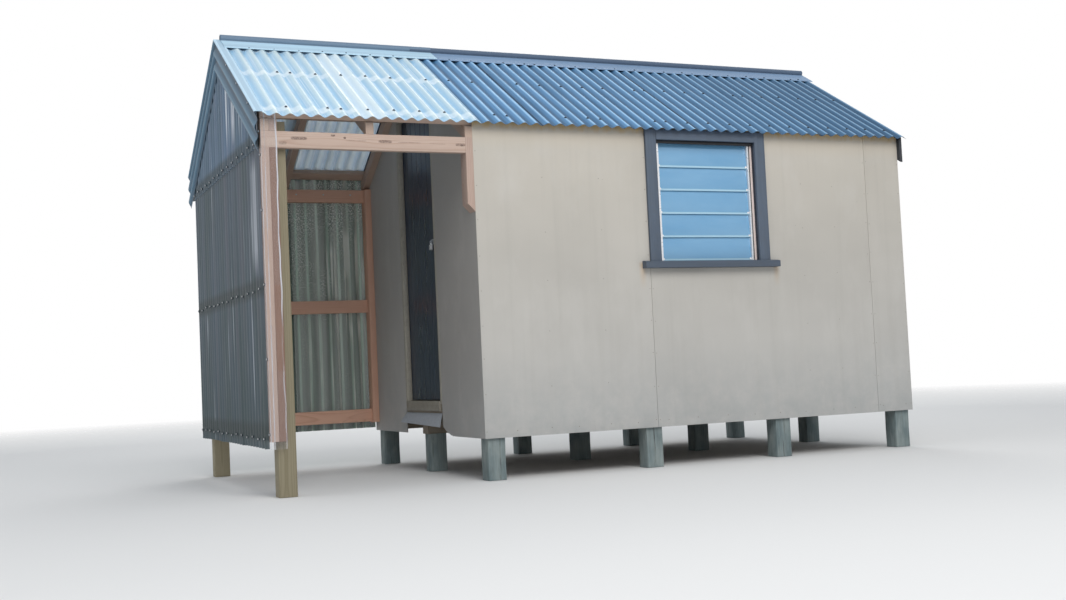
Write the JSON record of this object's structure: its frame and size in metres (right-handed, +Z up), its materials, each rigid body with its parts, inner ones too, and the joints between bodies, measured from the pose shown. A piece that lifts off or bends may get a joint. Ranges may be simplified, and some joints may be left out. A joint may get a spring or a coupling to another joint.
{
  "type": "backcountry hut with clear sheet porch",
  "caption": "Gable-roofed timber hut on piles with a corrugated roof, louvre window, hinged door and an open-fronted porch of clear corrugated sheets.",
  "frame": {"origin": "middle of the footprint at the foot of the piles", "axes": "+X along the hut away from the porch, +Y from the window side to the back, +Z up"},
  "size_m": [4.3476, 2.2666, 2.7667],
  "materials": {
    "grey_timber": "weathered rough sawn",
    "wall_lining": "plain board lining",
    "cream_paint": "aged cream paint",
    "blue_paint": "blue-grey paint",
    "dark_paint": "dark paint",
    "door_paint": "dark gloss paint",
    "aluminium": "mill finish",
    "louvre_glass": "obscure glass",
    "roof_steel": "weathered blue-grey paint",
    "clear_sheet": "clear corrugated plastic",
    "pine": "fresh sawn pine",
    "treated_pine": "treated rough sawn pine",
    "zinc_steel": "zinc plated"
  },
  "bodies": {
    "hut": {"piles": "grey_timber", "bearers": "grey_timber", "floor_joists": "grey_timber", "floor": "grey_timber", "front_wall": "wall_lining", "back_wall": "wall_lining", "far_gable_wall": "wall_lining", "door_wall_front": "wall_lining", "door_wall_back": "wall_lining", "door_wall_head": "wall_lining", "front_cladding": "cream_paint", "back_cladding": "cream_paint", "far_gable_cladding": "cream_paint", "door_wall_cladding": "cream_paint", "window_casing": "blue_paint", "window_frame": "blue_paint", "window_sill": "blue_paint", "louvre_channels": "aluminium", "louvre_blades": "louvre_glass", "door_frame": "cream_paint", "door_threshold": "grey_timber", "threshold_flap": "roof_steel", "rafters": "pine", "ridge_boards": "pine", "hut_purlins": "pine", "porch_purlins": "pine", "far_barge_boards": "dark_paint", "front_roof_sheets": "roof_steel", "back_roof_sheets": "roof_steel", "porch_roof_sheets": "clear_sheet", "ridge_caps": "roof_steel", "porch_posts": "treated_pine", "porch_studs": "pine", "header_rail": "pine", "porch_back_rails": "pine", "porch_end_rails": "pine", "end_sheets": "clear_sheet", "gable_sheets": "clear_sheet", "porch_back_sheets": "clear_sheet", "barge_strips": "clear_sheet", "hinge_plates": "zinc_steel"},
    "door": {"door_leaf": "door_paint", "door_ledges": "door_paint", "door_hinges": "zinc_steel", "door_latch": "zinc_steel"}
  },
  "joints": [
    {"name": "door_hinge", "type": "hinge", "parent": "hut", "child": "door", "pos_m": [-0.8157, 0.3325, 1.44], "axis": [0, 0, 1], "range_deg": [0, 100]}
  ]
}
